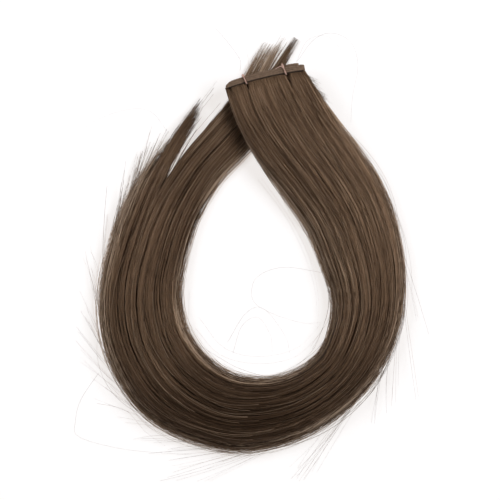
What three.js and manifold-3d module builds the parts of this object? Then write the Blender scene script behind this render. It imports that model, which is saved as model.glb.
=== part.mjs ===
// A hair weft lying flat: a folded sewn track, long straight hair laid round an open loop, and two thread ties.
// Millimetres, +Z up. The hair rests on the plane Z = 0, and the origin is under the middle of the loop.
// +Y points from the bottom of the loop to the track.
import * as THREE from "three";
import { mergeVertices } from "three/addons/utils/BufferGeometryUtils.js";
import Module from "manifold-3d";

const wasm = await Module();
wasm.setup();

// Driving dimensions
const TRACK_WIDTH = 45; // the folded track, from fold to fold
const BAND_HEIGHT = 3.1; // the sewn band, along the hair
const BAND_THICKNESS = 1.0;
const FOLD_PITCH = 1.6; // from one layer of the folded track to the next
const TRACK_BOW = 1.2; // how far the middle of the track bows away from the hair
const ROOT_LIFT = 7; // the tips pass under the root, which lies this high
const TIE_DIAMETER = 0.8;
const GAP = 0.3; // between pieces that meet
const WELD = 1e-4; // points closer than this are one

// The bundle's cross-sections, from the root to the longest tip. x and y are the middle of the section, across
// is the direction in degrees from the loop's inside to its outside, and lift is the height of the underside.
const SECTIONS = [
  { x: 7.5, y: 92.9, across: 13, width: 44, height: 8.7, lift: ROOT_LIFT },
  { x: 15.1, y: 75.8, across: 25, width: 48, height: 9.8, lift: 6.4 },
  { x: 25.4, y: 58.8, across: 34, width: 50, height: 10.4, lift: 5.6 },
  { x: 39.1, y: 39.8, across: 34, width: 51, height: 11.4, lift: 3 },
  { x: 51.6, y: 20.2, across: 28, width: 50, height: 12.4, lift: 0.6 },
  { x: 59.8, y: -1.7, across: 17, width: 47.5, height: 13, lift: 0 },
  { x: 64.5, y: -25.0, across: 5, width: 41.8, height: 14, lift: 0 },
  { x: 62.3, y: -46.2, across: -10, width: 38.6, height: 15, lift: 0 },
  { x: 51.1, y: -70.0, across: -38, width: 35.6, height: 16, lift: 0 },
  { x: 31.5, y: -86.5, across: -62, width: 37.1, height: 16, lift: 0 },
  { x: 7.8, y: -94.2, across: -84, width: 40.6, height: 15, lift: 0 },
  { x: -18.9, y: -93.3, across: -107, width: 46, height: 14, lift: 0 },
  { x: -43.4, y: -79.0, across: -131, width: 49.4, height: 13.5, lift: 0 },
  { x: -58.7, y: -55.5, across: -156, width: 48.4, height: 13, lift: 0 },
  { x: -63.1, y: -28.4, across: -175, width: 45.6, height: 12.5, lift: 0 },
  { x: -58.1, y: -1.7, across: -194, width: 42.6, height: 11.5, lift: 0 },
  { x: -48.3, y: 23.8, across: -205, width: 39.6, height: 10, lift: 0 },
  { x: -33.6, y: 46.6, across: -217, width: 37.4, height: 8.4, lift: 0 },
  { x: -19.6, y: 62.3, across: -224, width: 38, height: 7, lift: 0 },
  { x: -3.4, y: 81.4, across: -220, width: 37, height: 6, lift: 0 },
  { x: 21.5, y: 119.1, across: -218, width: 33, height: 4.6, lift: 0 },
];

// The locks, from the loop's inside to its outside. side is the lock's place across the bundle, from -1 to 1,
// share its width as a share of the bundle's (the locks overlap), reach its length as a share of the hair's,
// crown its height as a share of the bundle's, and splay how far across the bundle it drifts towards its tip.
const LOCKS = [
  { side: -0.86, share: 0.16, reach: 0.94, crown: 0.96, splay: -0.06 },
  { side: -0.72, share: 0.17, reach: 0.95, crown: 1.04, splay: 0.02 },
  { side: -0.58, share: 0.16, reach: 0.972, crown: 0.95, splay: 0.12 },
  { side: -0.44, share: 0.17, reach: 0.99, crown: 1.05, splay: 0.11 },
  { side: -0.3, share: 0.16, reach: 1, crown: 0.94, splay: 0.04 },
  { side: -0.16, share: 0.17, reach: 0.985, crown: 1.03, splay: -0.02 },
  { side: -0.03, share: 0.17, reach: 0.968, crown: 0.96, splay: 0.02 },
  { side: 0.11, share: 0.17, reach: 0.974, crown: 1.04, splay: 0.02 },
  { side: 0.26, share: 0.17, reach: 0.968, crown: 0.95, splay: 0 },
  { side: 0.41, share: 0.17, reach: 0.85, crown: 1.04, splay: 0.16 },
  { side: 0.55, share: 0.16, reach: 0.866, crown: 0.96, splay: 0.2 },
  { side: 0.7, share: 0.17, reach: 0.876, crown: 1.03, splay: 0.14 },
  { side: 0.86, share: 0.16, reach: 0.862, crown: 0.97, splay: 0.06 },
];
const LOCK_STEPS = 28; // along a lock
const LOCK_WANDER = 0.035; // how far a lock wanders across the bundle, as a share of half its width
const LOCK_WAVES = 2.3; // along the hair
const LOCK_PHASE = 0.37; // of a wave, from one lock to the next
const LOOSE_FROM = 0.15; // of the hair's length, where the locks are free of the root's flat form
const LOCK_HANG = 0.96; // every other lock hangs a little lower where the root is lifted
const SPLAY_FROM = 0.7; // of the hair's length, where the locks begin to part
const HEAD_LENGTH = 3.5; // the head that the locks grow from, along the hair
const HEAD_MARGIN = 0.4; // it stands this much proud of the locks, above and below
const TIP_TAPER = 55; // length over which a lock narrows to its tip
const TIP_SHARE = 0.25; // of the lock's width and height that is left at its tip
const SLIVER = 0.03; // edges shorter than this, left where locks cross, are closed up
const CROWN_DROP = 0.85; // of the square of the height that the bundle's edges lose

// A lock's section: a mound on a flat underside, as shares of its half width and of its height
const MOUND = [
  [-1, 0],
  [-0.94, 0.55],
  [-0.5, 0.93],
  [0, 1],
  [0.5, 0.93],
  [0.94, 0.55],
  [1, 0],
];

// The track's layers from the lowest up. left and right are how far its folds or ends stand back from the
// folded width, and stray is how far the layer's right end strays off the hair.
const FOLDS = [
  { left: 0.6, right: 1.2, stray: 0.2 },
  { left: 0.3, right: 0.4, stray: 0 },
  { left: 0.9, right: 0.5, stray: 0.3 },
  { left: 0.5, right: 3.2, stray: 1.2 },
  { left: 0.2, right: 3.4, stray: 1.4 },
  { left: 0, right: 0, stray: 0 },
];
const STRAY_FROM = 0; // along the track from its middle, where a layer begins to stray
const STRAY_TO = 15;
const LEFT_ROUND = 12; // the left end is rounded over this length
const LEFT_SHARE = 0.25; // of the band's height that is left at that end
const LAYER_STEPS = 7; // along a layer
const BEND_STEPS = 5; // round a fold

// The ties. along is the thread's place along the track from its middle, lean how much further along it lies at
// the hair than at the track's free edge, and parting the length of the split that it pulls open in the hair.
const TIES = [
  { name: "tie_left", along: -11.6, lean: 1, parting: 4 },
  { name: "tie_right", along: 11, lean: 1, parting: 9 },
];
const PARTING_WIDTH = 1.7;
const SLOT_LENGTH = 1.6;
const SPLIT_DEPTH = 4;
const TIE_SLACK = 0.2;
const TIE_STEPS = 40;
const TIE_SIDES = 6;

// Materials
const hairMaterial = new THREE.MeshStandardMaterial({ color: 0x55422f, roughness: 0.5, metalness: 0 });
const trackMaterial = new THREE.MeshStandardMaterial({ color: 0x85705f, roughness: 0.8, metalness: 0 });
const tieMaterial = new THREE.MeshStandardMaterial({ color: 0xc09a90, roughness: 0.75, metalness: 0 });

// Solids and meshes

function toSolid(geometry) {
  const bare = geometry.clone();
  bare.deleteAttribute("normal");
  bare.deleteAttribute("uv");
  const merged = mergeVertices(bare, WELD);
  return new wasm.Manifold(
    new wasm.Mesh({
      numProp: 3,
      vertProperties: new Float32Array(merged.attributes.position.array),
      triVerts: new Uint32Array(merged.index.array),
    }),
  );
}

function toGeometry(solid) {
  const mesh = solid.getMesh();
  const geometry = new THREE.BufferGeometry();
  geometry.setAttribute("position", new THREE.BufferAttribute(mesh.vertProperties, 3));
  geometry.setIndex(new THREE.BufferAttribute(mesh.triVerts, 1));
  geometry.computeVertexNormals();
  return geometry;
}

// A closed skin over rings of equal length, with a flat cap at each end.
function loft(rings) {
  const sides = rings[0].length;
  const positions = rings.flat().flatMap((point) => [point.x, point.y, point.z]);
  const triangles = [];
  for (let ring = 0; ring + 1 < rings.length; ring++) {
    for (let side = 0; side < sides; side++) {
      const here = ring * sides + side;
      const beside = ring * sides + ((side + 1) % sides);
      triangles.push(here, here + sides, beside, beside, here + sides, beside + sides);
    }
  }
  const last = (rings.length - 1) * sides;
  for (let side = 1; side + 1 < sides; side++) {
    triangles.push(0, side, side + 1);
    triangles.push(last, last + side + 1, last + side);
  }
  const geometry = new THREE.BufferGeometry();
  geometry.setAttribute("position", new THREE.Float32BufferAttribute(positions, 3));
  geometry.setIndex(triangles);
  return geometry;
}

// The bundle's frame

const middle = new THREE.CatmullRomCurve3(
  SECTIONS.map((row) => new THREE.Vector3(row.x, row.y, row.lift)),
  false,
  "catmullrom",
);
const form = new THREE.CatmullRomCurve3(
  SECTIONS.map((row) => new THREE.Vector3(row.across, row.width, row.height)),
  false,
  "catmullrom",
);
const hairLength = middle.getLength();

// The bundle's section at a distance along the hair from the track.
function sectionAt(distance) {
  const t = middle.getUtoTmapping(0, distance);
  const centre = middle.getPoint(t);
  centre.z = Math.max(centre.z, 0);
  const shape = form.getPoint(t);
  const angle = THREE.MathUtils.degToRad(shape.x);
  return {
    centre,
    across: new THREE.Vector3(Math.cos(angle), Math.sin(angle), 0),
    width: shape.y,
    height: shape.z,
  };
}

const rootSection = sectionAt(0);
const trackAlong = rootSection.across; // from the loop's inside to its outside
const offHair = new THREE.Vector3(-trackAlong.y, trackAlong.x, 0); // from the hair to the track's free edge

// How far the track, and the hair's root with it, bows away from the hair at a place along the track.
function bowAt(along) {
  const share = along / (TRACK_WIDTH / 2);
  return TRACK_BOW * (1 - share * share);
}

// The band's height along the hair, which shrinks round the fold at the left end.
function bandHeightAt(along) {
  const round = THREE.MathUtils.smoothstep(along, -TRACK_WIDTH / 2, -TRACK_WIDTH / 2 + LEFT_ROUND);
  return BAND_HEIGHT * THREE.MathUtils.lerp(LEFT_SHARE, 1, round);
}

// How far a layer stands off the hair at a place along the track.
function strayAt(stray, along) {
  return stray * THREE.MathUtils.smoothstep(along, STRAY_FROM, STRAY_TO);
}

// A point at a place along the track, a distance off the hair's root and a height.
function atTrack(along, off, height) {
  return rootSection.centre
    .clone()
    .setZ(height)
    .addScaledVector(trackAlong, along)
    .addScaledVector(offHair, off);
}

// Hair

// How much of a lock is left at a distance along it.
function taperAt(distance, length) {
  const share = THREE.MathUtils.clamp((length - distance) / TIP_TAPER, 0, 1);
  return TIP_SHARE + (1 - TIP_SHARE) * Math.sin((share * Math.PI) / 2);
}

function lockRings(lock, index) {
  const length = lock.reach * hairLength;
  const hang = index % 2 === 0 ? 1 : LOCK_HANG;
  const rings = [];
  for (let step = 0; step <= LOCK_STEPS; step++) {
    const distance = THREE.MathUtils.lerp(HEAD_LENGTH / 2, length, step / LOCK_STEPS);
    const run = distance / hairLength;
    const section = sectionAt(distance);
    const loose = THREE.MathUtils.smoothstep(run, 0, LOOSE_FROM);
    const wave = Math.sin(2 * Math.PI * (LOCK_WAVES * run + LOCK_PHASE * index));
    const drift = lock.splay * THREE.MathUtils.smoothstep(run, SPLAY_FROM, lock.reach);
    const side = lock.side + LOCK_WANDER * loose * wave + drift;
    const taper = taperAt(distance, length);
    const halfWidth = (lock.share * section.width * taper) / 2;
    const rounding = Math.sqrt(1 - CROWN_DROP * loose * Math.min(side * side, 1));
    const crown = 1 + (lock.crown - 1) * loose;
    const height = section.height * rounding * crown * taper;
    const ring = MOUND.map(([wide, high]) => {
      const place = (side * section.width) / 2 + wide * halfWidth;
      const point = section.centre.clone().addScaledVector(section.across, place);
      return point.setZ(point.z * hang + high * height);
    });
    rings.push(ring);
  }
  return rings;
}

// The head that the locks grow from, against the track.
function headSolid() {
  const low = ROOT_LIFT - HEAD_MARGIN;
  const high = ROOT_LIFT + SECTIONS[0].height + HEAD_MARGIN;
  const rings = [];
  for (let step = 0; step <= LAYER_STEPS; step++) {
    const along = TRACK_WIDTH * (step / LAYER_STEPS - 0.5);
    const near = bowAt(along) - GAP;
    rings.push([
      atTrack(along, near, low),
      atTrack(along, near - HEAD_LENGTH, low),
      atTrack(along, near - HEAD_LENGTH, high),
      atTrack(along, near, high),
    ]);
  }
  return toSolid(loft(rings));
}

// The slot that a tie's thread passes through, and the split that it pulls open in the top of the hair below.
function partingSolid(tie) {
  const along = tie.along + tie.lean / 2;
  const half = PARTING_WIDTH / 2;
  const slot = new THREE.Shape();
  slot.moveTo(-half, 0);
  slot.lineTo(-half, -SLOT_LENGTH);
  slot.lineTo(half, -SLOT_LENGTH);
  slot.lineTo(half, 0);
  const split = new THREE.Shape();
  split.moveTo(-half, -SLOT_LENGTH / 2);
  split.lineTo(0, -tie.parting);
  split.lineTo(half, -SLOT_LENGTH / 2);
  const turn = new THREE.Matrix4().makeBasis(trackAlong, offHair, new THREE.Vector3(0, 0, 1));
  const cut = (shape, height) => {
    const depth = 2 * SECTIONS[0].height;
    const geometry = new THREE.ExtrudeGeometry(shape, { depth, bevelEnabled: false });
    turn.setPosition(atTrack(along, bowAt(along), height));
    return toSolid(geometry.applyMatrix4(turn));
  };
  const top = ROOT_LIFT + SECTIONS[0].height;
  return cut(slot, ROOT_LIFT - 2 * HEAD_MARGIN).add(cut(split, top - SPLIT_DEPTH));
}

function makeHair() {
  const locks = LOCKS.map((lock, index) => toSolid(loft(lockRings(lock, index))));
  let solid = locks.reduce((all, lock) => all.add(lock), headSolid());
  for (const tie of TIES) {
    solid = solid.subtract(partingSolid(tie));
  }
  const mesh = new THREE.Mesh(toGeometry(solid.simplify(SLIVER)), hairMaterial);
  mesh.name = "hair";
  return mesh;
}

// Track

// The folded band's middle line: places along the track, heights, and how far each stands off the hair.
function foldedLine() {
  const line = [];
  FOLDS.forEach((fold, layer) => {
    const height = ROOT_LIFT + FOLD_PITCH * (layer + 0.5);
    const bend = FOLD_PITCH / 2;
    const left = -TRACK_WIDTH / 2 + fold.left + bend;
    const right = TRACK_WIDTH / 2 - fold.right - bend;
    const leftwards = layer % 2 === 0;
    const [from, to] = leftwards ? [right, left] : [left, right];
    for (let step = 0; step <= LAYER_STEPS; step++) {
      line.push({ along: THREE.MathUtils.lerp(from, to, step / LAYER_STEPS), height, stray: fold.stray });
    }
    const next = FOLDS[layer + 1];
    if (!next) return;
    const turned = leftwards ? -TRACK_WIDTH / 2 + next.left + bend : TRACK_WIDTH / 2 - next.right - bend;
    for (let step = 1; step < BEND_STEPS; step++) {
      const share = step / BEND_STEPS;
      const angle = Math.PI * share;
      const outward = (leftwards ? -1 : 1) * bend * Math.sin(angle);
      line.push({
        along: THREE.MathUtils.lerp(to, turned, share) + outward,
        height: height + bend * (1 - Math.cos(angle)),
        stray: THREE.MathUtils.lerp(fold.stray, next.stray, share),
      });
    }
  });
  return line;
}

function makeTrack() {
  const line = foldedLine();
  const rings = line.map((here, index) => {
    const before = line[Math.max(index - 1, 0)];
    const after = line[Math.min(index + 1, line.length - 1)];
    const run = new THREE.Vector2(after.along - before.along, after.height - before.height).normalize();
    const near = bowAt(here.along) + strayAt(here.stray, here.along);
    const far = near + bandHeightAt(here.along);
    const half = BAND_THICKNESS / 2;
    const corner = (face, off) => atTrack(here.along - run.y * face, off, here.height + run.x * face);
    return [corner(-half, near), corner(half, near), corner(half, far), corner(-half, far)];
  });
  const mesh = new THREE.Mesh(toGeometry(toSolid(loft(rings))), trackMaterial);
  mesh.name = "track";
  return mesh;
}

// Ties

// A loop of thread round all the layers of the track.
function makeTie(tie) {
  const reach = TIE_DIAMETER / 2 + GAP;
  const low = ROOT_LIFT + (FOLD_PITCH - BAND_THICKNESS) / 2 - reach;
  const high = ROOT_LIFT + FOLD_PITCH * FOLDS.length - (FOLD_PITCH - BAND_THICKNESS) / 2 + reach;
  const strays = FOLDS.map((fold) => strayAt(fold.stray, tie.along));
  const near = bowAt(tie.along) - reach - TIE_SLACK;
  const far = bowAt(tie.along) + BAND_HEIGHT + Math.max(...strays) + reach + TIE_SLACK;
  const loop = new THREE.CurvePath();
  const at = (off, height) => {
    const crossed = (off - near) / (far - near);
    return atTrack(tie.along + tie.lean * (0.5 - crossed), off, height);
  };
  const corners = [
    [near, low],
    [far, low],
    [far, high],
    [near, high],
  ];
  corners.forEach(([off, height], index) => {
    const [nextOff, nextHeight] = corners[(index + 1) % 4];
    const [afterOff, afterHeight] = corners[(index + 2) % 4];
    const step = [Math.sign(nextOff - off) * reach, Math.sign(nextHeight - height) * reach];
    const turn = [Math.sign(afterOff - nextOff) * reach, Math.sign(afterHeight - nextHeight) * reach];
    const begin = at(off + step[0], height + step[1]);
    const end = at(nextOff - step[0], nextHeight - step[1]);
    const turned = at(nextOff + turn[0], nextHeight + turn[1]);
    loop.add(new THREE.LineCurve3(begin, end));
    loop.add(new THREE.QuadraticBezierCurve3(end, at(nextOff, nextHeight), turned));
  });
  const geometry = new THREE.TubeGeometry(loop, TIE_STEPS, TIE_DIAMETER / 2, TIE_SIDES, true);
  const mesh = new THREE.Mesh(toGeometry(toSolid(geometry)), tieMaterial);
  mesh.name = tie.name;
  return mesh;
}

const weft = new THREE.Group();
weft.add(makeHair(), makeTrack(), ...TIES.map(makeTie));

export default weft;
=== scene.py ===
import math
from collections import namedtuple

import bpy
import numpy as np
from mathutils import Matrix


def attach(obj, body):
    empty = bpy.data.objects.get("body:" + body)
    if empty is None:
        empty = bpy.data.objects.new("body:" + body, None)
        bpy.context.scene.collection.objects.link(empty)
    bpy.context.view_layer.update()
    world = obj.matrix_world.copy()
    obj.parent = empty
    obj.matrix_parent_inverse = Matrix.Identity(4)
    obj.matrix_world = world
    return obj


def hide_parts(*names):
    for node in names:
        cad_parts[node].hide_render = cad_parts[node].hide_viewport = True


MM = 0.001
UP = np.array([0.0, 0.0, 1.0])
SEED = 11

# The bundle's cross-sections, from the root to the longest tip, as in the solids: x, y, the direction
# across in degrees, from the loop's inside to its outside, width, height, and the underside's height
SECTIONS = [
    (7.5, 92.9, 13, 44, 8.7, 7),
    (15.1, 75.8, 25, 48, 9.8, 6.4),
    (25.4, 58.8, 34, 50, 10.4, 5.6),
    (39.1, 39.8, 34, 51, 11.4, 3),
    (51.6, 20.2, 28, 50, 12.4, 0.6),
    (59.8, -1.7, 17, 47.5, 13, 0),
    (64.5, -25.0, 5, 41.8, 14, 0),
    (62.3, -46.2, -10, 38.6, 15, 0),
    (51.1, -70.0, -38, 35.6, 16, 0),
    (31.5, -86.5, -62, 37.1, 16, 0),
    (7.8, -94.2, -84, 40.6, 15, 0),
    (-18.9, -93.3, -107, 46, 14, 0),
    (-43.4, -79.0, -131, 49.4, 13.5, 0),
    (-58.7, -55.5, -156, 48.4, 13, 0),
    (-63.1, -28.4, -175, 45.6, 12.5, 0),
    (-58.1, -1.7, -194, 42.6, 11.5, 0),
    (-48.3, 23.8, -205, 39.6, 10, 0),
    (-33.6, 46.6, -217, 37.4, 8.4, 0),
    (-19.6, 62.3, -224, 38, 7, 0),
    (-3.4, 81.4, -220, 37, 6, 0),
    (21.5, 119.1, -218, 33, 4.6, 0),
]
SECTION_SAMPLES = 4001
PROFILE_SAMPLES = 721
PROFILE_HALF, PROFILE_HEIGHT = 22, 12  # of the section that spaces the strands
ROUND_POWER, BOXY_POWER = 0.72, 0.3

# The locks, from the loop's inside to its outside. side and share are the lock's place and width across
# the bundle, reach its length as a share of the hair's, splay its drift across the bundle, over the last
# share of the hair, tip the share of its width that its end keeps, and fan how far its tips turn outwards
# past the root. ragged and fray are how much its tips differ in length and how far they spread.
LOCK_FIELDS = "side share reach splay over tip fan ragged fray".split()
LOCKS = [
    (-0.86, 0.16, 0.945, -0.06, 0.25, 0.5, 0, 8, 0.6),
    (-0.72, 0.17, 0.95, 0.04, 0.25, 0.5, 0, 8, 0.6),
    (-0.58, 0.16, 0.972, 0.24, 0.25, 0.8, 0, 12, 0.6),
    (-0.44, 0.17, 0.99, 0.14, 0.25, 0.8, 0, 12, 0.5),
    (-0.3, 0.16, 1.0, 0.02, 0.25, 0.8, 0, 10, 0.5),
    (-0.16, 0.17, 0.987, 0, 0.25, 1, 3.4, 18, 1.2),
    (-0.03, 0.17, 0.985, 0.04, 0.25, 1.1, 3.4, 18, 1.4),
    (0.11, 0.17, 0.98, 0.09, 0.25, 1.1, 3.2, 19, 1.5),
    (0.26, 0.17, 0.972, 0.13, 0.25, 1, 3, 20, 1.6),
    (0.41, 0.17, 0.862, 0.6, 0.135, 0.6, 0, 10, 1.1),
    (0.55, 0.16, 0.87, 0.55, 0.135, 0.55, 0, 12, 1.0),
    (0.7, 0.17, 0.874, 0.52, 0.135, 0.4, 0, 16, 0.7),
    (0.86, 0.16, 0.828, 0.15, 0.135, 0.5, 0, 36, 1.5),
]
LOCK = dict(zip(LOCK_FIELDS, np.array(LOCKS).T))
LOCK_MOUND = 0.05  # the share of its height by which a lock is lower at its sides
LEAST_HEIGHT = 0.15
TIP_TAPER = 35
TIP_SHARE = 0.5  # of the height, left at the tips
FAN_FROM = 455  # from the root, where the tips come out past the track

# Tips that lie under the root are pressed down, beside its inner edge
PRESS_RUN, PRESS_SAMPLES = 75, 60  # the stretch of root that lies on the tips
PRESS_FROM, PRESS_FULL = 390, 410  # from the root, where tips begin that may lie under it
PRESS_REACH = 3.2
FREE_HEIGHT, PRESSED_HEIGHT = 6, 3.2  # of the tips beside the root and under it

# Stretches of the hair, by distances from its root: where each begins, is full, begins to fade and ends
INNER_FLANK = (20, 80, 150, 190)
LOWER_HALF = (120, 200, 330, 420)
LOWER_RIGHT = (125, 155, 205, 240)
BELOW_LOOP = (155, 205, 280, 350)
LOOP_BOTTOM = (195, 235, 270, 310)
LOWER_LEFT = (240, 262, 262, 290)
LEFT_FLANK = (300, 330, 385, 410)

LOOSE_FROM = 75  # from the root, where the bundle has its round form
EDGE_INSET = 1.8  # how far inside the solids' edge the dense hair ends
LOOP_INSET = 1.6  # how much farther inside it ends below the loop
LOOP_DENT = 1.9  # and farther still at the loop's lower left

# The track, as in the solids
TRACK_WIDTH = 45
TRACK_BOW = 1.2
BAND_HEIGHT = 3.1
BAND_THICKNESS = 1.0
FOLD_PITCH = 1.6
Fold = namedtuple("Fold", "left right stray")
FOLDS = [
    Fold(0.6, 1.2, 0.2),
    Fold(0.3, 0.4, 0),
    Fold(0.9, 0.5, 0.3),
    Fold(0.5, 3.2, 1.2),
    Fold(0.2, 3.4, 1.4),
    Fold(0, 0, 0),
]
STRAY_FROM, STRAY_TO = 0, 15
LEFT_ROUND, LEFT_SHARE = 5, 0.3
LAYER_STEPS, BEND_STEPS = 48, 12

# The band's section, with sewn ridges
BAND_POINTS = 13
RIDGES, RIDGE_DEPTH, RIDGE_POWER = 3, 0.22, 0.7
BAND_EDGE = 0.4  # of its thickness

STITCH_PITCH = 1.5
STITCH_RADIUS, STITCH_SIDES, STITCH_POINTS = 0.13, 5, 7
STITCH_MARGINS = (2, 1)  # inside a fold's left and right ends
STITCH_STRAY = 0.12
STITCH_RISE = 0.06
WHIP_REACH, WHIP_ROUND, WHIP_INSET, WHIP_LEAN = 1.3, 0.3, 0.2, 0.35
ROW_PLACES = (0.17, 0.5, 0.83)  # as shares of the band's height
ROW_LENGTH, ROW_WAVE = 0.95, 0.08
SEAM_RADIUS, SEAM_RISE, SEAM_MARGIN, SEAM_WAVE = 0.38, 0.12, 1.2, 0.06

# The hair's root at the track
ROOT_LIFT = 7
ROOT_RUN = 14  # the stretch in which the hair leaves the track's bow and layers
ROOT_DROP = 0.3  # under the middle of a strand's layer
ROOT_OVERLAP, CORE_OVERLAP = 0.4, 0.1  # how far strands and core reach into the track
ROOT_FLARE, FLARE_RUN, FLARE_FROM = 1.2, 60, 8  # past the track's left end
PART_SPREAD, PART_REACH = 0.9, 1.5  # of the hair beside a tie
PART_DEPTH, PART_WIDTH, PART_RUN = 1.2, 0.8, 3  # the furrow at a tie

# The ties, as in the solids, and the steps that their loose ends take from the knot
Tie = namedtuple("Tie", "name along lean parting ends")
TIES = [
    Tie("tie_left", -11.6, 1, 5, [[(0, 0, 0), (-0.3, 0.5, -0.3), (-0.4, 0.9, -0.9)]]),
    Tie("tie_right", 11, 1, 13, [
        [(0, 0, 0), (-1.8, 0.2, 0.1), (-4.2, -0.5, 0)],
        [(0, 0, 0), (0.3, 0.5, -0.3), (0.5, 0.9, -0.9)],
    ]),
]
TIE_DIAMETER = 0.8
TIE_GAP = 0.3
TIE_SLACK = 0.2
TIE_POWER = 0.35
TIE_SAMPLES, TIE_TURNS = 320, 20
PLY_RADIUS = 0.21
KNOT_HEIGHT, KNOT_LEAN, KNOT_OFF = 16.6, 0.45, 0.7
KNOT_POINTS = 40
COIL_RADIUS, COIL_TURNS, COIL_RISE, COIL_THREAD = 0.5, 2, 0.4, 0.3
END_RADII = (0.26, 0.16)

# The core under the strands, coloured dark as painted shade
CORE_STEPS, CORE_SIDES, CORE_POWER = 64, 9, 0.5
CORE_START, CORE_SHORT = 0.2, 14  # from the root, and before the locks' tips
CORE_TAPER, CORE_TIP = 25, 0.08
CORE_GATHER = 0.84  # of the locks' places across the bundle
CORE_SHARE = 0.85  # of the locks' widths
CORE_FALL = 0.85  # how far it rounds off sideways
CORE_LIFT, CORE_DEPTH = 0.25, 1.7
CORE_INSET = 1.2  # on the outer side

# Slow waves: their size, and rows of weight and turns along the whole hair
LANE_SWAY = (0.009, [(1, 1.1), (0.5, 2.4)])
CLUMP_SWAY = (0.0045, [(1, 1.6), (0.5, 3.5)])
STRAND_SWAY = (0.0028, [(1, 5), (0.7, 10)])
TOP_SWAY = (0.01, [(1, 5)])
DEPTH_WAVES = (0.2, [(1, 1.7), (0.8, 4), (0.8, 8)])
LANE_TONE_WAVES = (0.06, [(1, 6), (1, 14)])
CLUMP_TONE_WAVES = (0.07, [(0.5, 2.5), (1, 9), (0.7, 16)])
LEAST_TURNS, MORE_TURNS = 0.7, 0.6  # shares of the turns

# The strands, in lanes of clumps
LANES = 80
LANE_CLUMPS = 8
CLUMPS = LANES * LANE_CLUMPS
CLUMP_STRANDS = 4
STRAND_PIECES = ("strands_inner", "strands_top_inner", "strands_top_outer", "strands_outer")
STRAND_RADIUS, RADIUS_SHARES = 0.13, (0.75, 1.25)
HAIR_SIDES = 3
ROOT_RUNS = (0, 0.9, 2.2, 5, 9, 15)  # close points at the root
STRAND_STEPS = 45
LANE_SHORT, STRAND_SHORT = 0.25, 0.75  # of how ragged the lock is
PAST_LOCK, END_MARGIN = 4, 0.5  # past their lock's end, and before the end of all hair
EDGE_PLACE = 0.04  # the share of the section, beside the floor, that has only loose hairs
PLACE_MARGIN = 0.002
STRAND_STRAY = 0.0028
CROSSING_SHARE, CROSSING_SLANT = 0.35, 0.1
CLUMP_DEPTH, STRAND_DEPTH, DEEPEST = 0.65, 0.15, 2.6

# Partings, which are short furrows, dark from their own shade and from the painted shade of deeper
# strands. Widths are shares of the way round the section.
PARTINGS = 50
PARTING_DEPTH, PARTING_WIDTH = 1.2, 0.005
PARTING_SPREAD, PARTING_FADE = 0.0035, 0.0075

# How tips spread, and how strands stand off at the edges
TIP_RUN = 45
LANE_SPREAD, STRAND_SPREAD = 0.5, 0.7  # of how frayed the lock is
TIP_THINNING, THIN_FROM = 0.7, 0.6
RIM_PLACES = (0.36, 0.46)  # off the top, where the edges begin
STAND_OFF, MOST_OFF = 0.8, 3
LOOP_OFF, LOOP_OFF_FROM = 0.4, (180, 260)
EDGE_THINNING = 0.3

# Tones of the hair, from 0 for the darkest to PALEST at the end of its ramp of colours
PALEST = 1.25
MIDDLE_TONE, TOP_TONE = 0.75, 0.94  # and the palest away from the edges
LANE_TONE, CLUMP_TONE, STRAND_TONE = 0.09, 0.14, 0.18  # how much they differ
LIGHT_SHARE, DARK_SHARE = 0.5, 1.1  # of these differences, towards light and towards dark
ROOT_CONTRAST, LOOP_CONTRAST, TIP_CONTRAST = 1.2, 2.05, 0.8
CONTRAST_GROWS, CONTRAST_FADES = (110, 200), (395, 425)
# Painted shade: the darkening of deeper strands
DEPTH_SHADE, CROSSING_TONE = 0.2, 0.1
# Painted light: strands towards the bundle's edges, and hairs that stand off there, are paler for the
# light that the edges catch and let through
ROOT_EDGE_LIGHT, LOOP_EDGE_LIGHT, EDGE_LIGHT_GROWS = 0.34, 0.78, (150, 200)  # of the painted light on the edges
INNER_EDGE_LIGHT_LOSS, INNER_EDGE_LIGHT_FADES = 0.45, (320, 380)
NARROW_EDGE, WIDE_EDGE, WIDE_SHARE, EDGE_WIDENS = (0.32, 0.46), (0.27, 0.38), 0.55, (170, 220)
STAND_OFF_LIGHT = 0.2
# Painted light: paler rims and a paler band along the outer edge
LEFT_RIM_LIGHT, RIGHT_RIM_LIGHT, RIM_DEPTHS = 0.5, 0.12, (0.8, 2.8)
RIGHT_BAND_LIGHT, BAND_DEPTHS = 0.14, (3, 9)
# Painted light on the inner edge of the right flank
INNER_FLANK_LIGHT, INNER_PLACES = 0.2, (0.2, 0.5)
# Painted shade over the lower half of the loop and its bottom
LOWER_SHADE, BOTTOM_SHADE = 0.2, 0.12
# Painted light on the tips, which lie in the root's shadow
TIPS_LIGHT, TIPS_FROM = 0.07, (395, 430)
FAN_TONE, FAN_TIPS_FROM = 0.32, (465, 490)
# Painted shade on the hair where it comes out of the track
TRACK_SHADE, OUT_OF_TRACK = 0.25, (0.6, 3.5)

# Loose hairs
LOOSE_RADIUS = 0.075
LOOSE_POINTS = 22
LOOSE_SHARES = (0.8, 1, 1.4, 0.65)  # of that radius, for fuzz, edges, hairs on top and curls
REACH = (99, 132)  # how far loose hairs may go from the middle

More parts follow.
